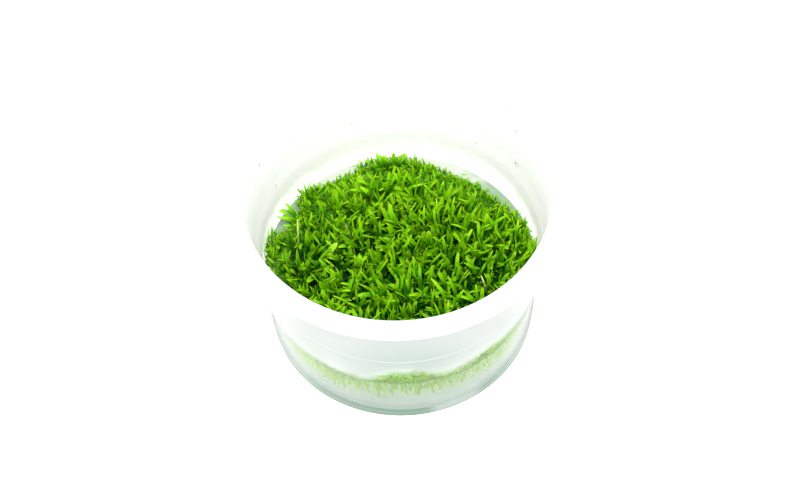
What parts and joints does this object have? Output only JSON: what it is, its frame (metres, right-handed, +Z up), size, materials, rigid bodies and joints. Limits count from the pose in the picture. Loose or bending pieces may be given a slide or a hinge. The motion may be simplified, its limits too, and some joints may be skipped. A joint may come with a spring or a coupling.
{
  "type": "tissue culture utricularia graminifolia",
  "caption": "Round open tissue-culture cup with a flat flange, clear agar gel in its bottom and a dense carpet of small grassy leaf blades grown over the gel.",
  "frame": {"origin": "centre of the cup's underside, on the surface that it stands on", "axes": "+Z up out of the cup's mouth, -Y towards the front that the picture shows, +X to the right"},
  "size_m": [0.1018, 0.1018, 0.0622],
  "materials": {
    "milky_plastic": "milky see-through moulded plastic, soft gloss",
    "clear_gel": "wet clear gel with a cool green tint",
    "leaf_green": "fresh leaf, satin"
  },
  "bodies": {
    "root": {"culture_cup": "milky_plastic", "agar_gel": "clear_gel", "plant_mat": "leaf_green"}
  },
  "joints": []
}
